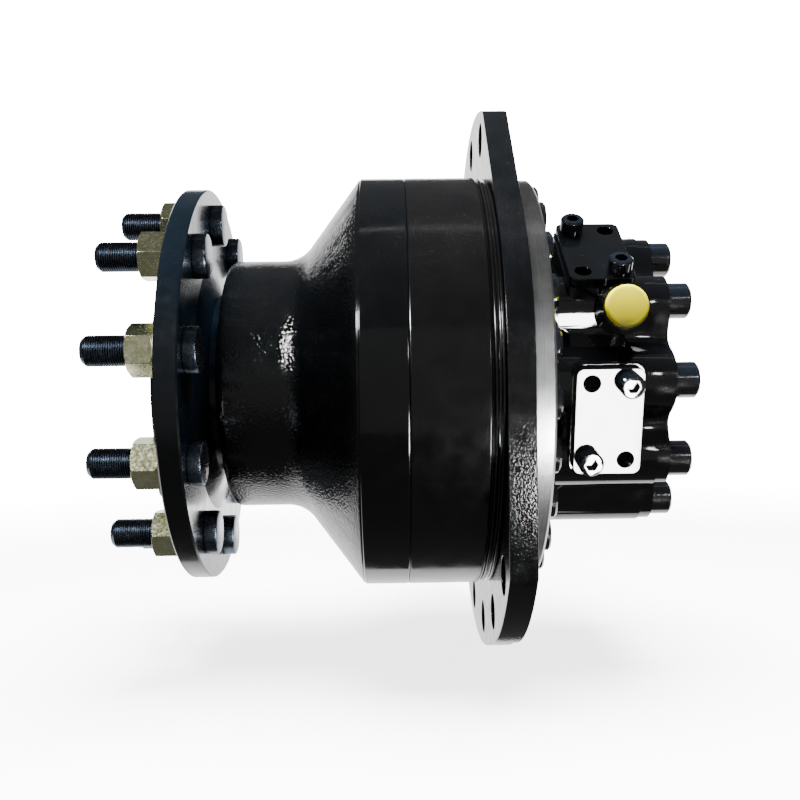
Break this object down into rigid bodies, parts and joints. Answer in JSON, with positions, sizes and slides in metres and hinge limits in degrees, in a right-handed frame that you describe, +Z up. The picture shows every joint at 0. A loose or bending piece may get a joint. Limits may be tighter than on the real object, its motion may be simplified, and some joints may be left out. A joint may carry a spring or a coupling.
{
  "type": "hydraulic wheel motor",
  "caption": "Radial piston wheel motor with a studded wheel flange, conical bearing housing, lobed mounting plate with bare pilot ring, and a columned port cover.",
  "frame": {"origin": "on the shaft axis, at the rear face of the mounting plate where the pilot ring starts", "axes": "+X along the shaft, from the wheel flange to the port cover; +Z up; the pictured side is -Y"},
  "size_m": [0.395, 0.4039, 0.414],
  "materials": {
    "satin_black_paint": "satin black paint",
    "plate_black_paint": "black paint over a rough flame-cut edge",
    "body_black_paint": "semi-gloss black paint over turned rings",
    "casting_black_paint": "semi-gloss black paint over a rough casting",
    "gloss_black_paint": "gloss black paint",
    "bare_turned_steel": "bare turned steel",
    "yellow_zinc": "yellow chromated zinc plate",
    "clear_zinc": "clear zinc plate",
    "black_oxide_stud": "black oxide with oil",
    "black_oxide_screw": "black paint over black oxide",
    "seal_rubber": "matt nitrile rubber",
    "yellow_plastic": "moulded polyethylene",
    "cast_distributor": "turned cast iron",
    "spring_steel": "blued spring steel",
    "ground_steel": "ground bearing steel",
    "machined_block": "machined ductile iron"
  },
  "bodies": {
    "motor_case": {"bearing_housing": "casting_black_paint", "cam_ring": "body_black_paint", "spacer_ring": "body_black_paint", "mounting_plate": "plate_black_paint", "pilot_ring": "bare_turned_steel", "distributor_cover": "gloss_black_paint", "distributor": "cast_distributor", "distributor_seals": "seal_rubber", "distributor_spring": "spring_steel", "distributor_pins": "ground_steel", "stack_orings": "seal_rubber", "cover_orings": "seal_rubber", "cover_screws": "black_oxide_screw", "stack_screws": "black_oxide_screw", "stack_washers": "clear_zinc", "port_plates": "gloss_black_paint", "port_seals": "seal_rubber", "port_screws": "black_oxide_screw", "drain_cap": "yellow_plastic", "shaft_seal": "seal_rubber", "front_cup": "ground_steel", "rear_cup": "ground_steel"},
    "wheel_shaft": {"output_shaft": "satin_black_paint", "wheel_studs": "black_oxide_stud", "wheel_nuts": "yellow_zinc", "wheel_washers": "clear_zinc", "front_cone": "ground_steel", "rear_cone": "ground_steel", "lock_washer": "clear_zinc", "bearing_nut": "black_oxide_screw", "cylinder_block": "machined_block", "block_ring": "spring_steel"},
    "front_cage": {"front_rollers": "ground_steel"},
    "rear_cage": {"rear_rollers": "ground_steel"},
    "piston_1": {"piston_1": "ground_steel", "piston_ring_1": "seal_rubber"},
    "cam_roller_1": {"roller_1": "ground_steel"},
    "piston_2": {"piston_2": "ground_steel", "piston_ring_2": "seal_rubber"},
    "cam_roller_2": {"roller_2": "ground_steel"},
    "piston_3": {"piston_3": "ground_steel", "piston_ring_3": "seal_rubber"},
    "cam_roller_3": {"roller_3": "ground_steel"},
    "piston_4": {"piston_4": "ground_steel", "piston_ring_4": "seal_rubber"},
    "cam_roller_4": {"roller_4": "ground_steel"},
    "piston_5": {"piston_5": "ground_steel", "piston_ring_5": "seal_rubber"},
    "cam_roller_5": {"roller_5": "ground_steel"},
    "piston_6": {"piston_6": "ground_steel", "piston_ring_6": "seal_rubber"},
    "cam_roller_6": {"roller_6": "ground_steel"},
    "piston_7": {"piston_7": "ground_steel", "piston_ring_7": "seal_rubber"},
    "cam_roller_7": {"roller_7": "ground_steel"},
    "piston_8": {"piston_8": "ground_steel", "piston_ring_8": "seal_rubber"},
    "cam_roller_8": {"roller_8": "ground_steel"}
  },
  "joints": [
    {"name": "shaft_turn", "type": "hinge", "parent": "motor_case", "child": "wheel_shaft", "pos_m": [-0.1, 0, 0], "axis": [1, 0, 0], "continuous": true},
    {"name": "front_cage_turn", "type": "hinge", "parent": "motor_case", "child": "front_cage", "pos_m": [-0.169, 0, 0], "axis": [1, 0, 0], "continuous": true},
    {"name": "rear_cage_turn", "type": "hinge", "parent": "motor_case", "child": "rear_cage", "pos_m": [-0.107, 0, 0], "axis": [1, 0, 0], "continuous": true},
    {"name": "piston_1_stroke", "type": "slide", "parent": "wheel_shaft", "child": "piston_1", "axis": [0, -1, 0], "range_m": [0, 0.00355]},
    {"name": "roller_1_spin", "type": "hinge", "parent": "piston_1", "child": "cam_roller_1", "pos_m": [-0.0505, -0.0795, 0], "axis": [1, 0, 0], "continuous": true},
    {"name": "piston_2_stroke", "type": "slide", "parent": "wheel_shaft", "child": "piston_2", "axis": [0, -0.7071, 0.7071], "range_m": [0, 0.01345]},
    {"name": "roller_2_spin", "type": "hinge", "parent": "piston_2", "child": "cam_roller_2", "pos_m": [-0.0505, -0.05621, 0.05621], "axis": [1, 0, 0], "continuous": true},
    {"name": "piston_3_stroke", "type": "slide", "parent": "wheel_shaft", "child": "piston_3", "axis": [0, 0, 1], "range_m": [0, 0.01345]},
    {"name": "roller_3_spin", "type": "hinge", "parent": "piston_3", "child": "cam_roller_3", "pos_m": [-0.0505, 0, 0.0795], "axis": [1, 0, 0], "continuous": true},
    {"name": "piston_4_stroke", "type": "slide", "parent": "wheel_shaft", "child": "piston_4", "axis": [0, 0.7071, 0.7071], "range_m": [0, 0.00355]},
    {"name": "roller_4_spin", "type": "hinge", "parent": "piston_4", "child": "cam_roller_4", "pos_m": [-0.0505, 0.05621, 0.05621], "axis": [1, 0, 0], "continuous": true},
    {"name": "piston_5_stroke", "type": "slide", "parent": "wheel_shaft", "child": "piston_5", "axis": [0, 1, 0], "range_m": [0, 0.00355]},
    {"name": "roller_5_spin", "type": "hinge", "parent": "piston_5", "child": "cam_roller_5", "pos_m": [-0.0505, 0.0795, 0], "axis": [1, 0, 0], "continuous": true},
    {"name": "piston_6_stroke", "type": "slide", "parent": "wheel_shaft", "child": "piston_6", "axis": [0, 0.7071, -0.7071], "range_m": [0, 0.01345]},
    {"name": "roller_6_spin", "type": "hinge", "parent": "piston_6", "child": "cam_roller_6", "pos_m": [-0.0505, 0.05621, -0.05621], "axis": [1, 0, 0], "continuous": true},
    {"name": "piston_7_stroke", "type": "slide", "parent": "wheel_shaft", "child": "piston_7", "axis": [0, 0, -1], "range_m": [0, 0.01345]},
    {"name": "roller_7_spin", "type": "hinge", "parent": "piston_7", "child": "cam_roller_7", "pos_m": [-0.0505, 0, -0.0795], "axis": [1, 0, 0], "continuous": true},
    {"name": "piston_8_stroke", "type": "slide", "parent": "wheel_shaft", "child": "piston_8", "axis": [0, -0.7071, -0.7071], "range_m": [0, 0.00355]},
    {"name": "roller_8_spin", "type": "hinge", "parent": "piston_8", "child": "cam_roller_8", "pos_m": [-0.0505, -0.05621, -0.05621], "axis": [1, 0, 0], "continuous": true}
  ],
  "couplings": [
    {"joint": "front_cage_turn", "follows": "shaft_turn", "ratio": 0.4533},
    {"joint": "rear_cage_turn", "follows": "shaft_turn", "ratio": 0.4495}
  ]
}
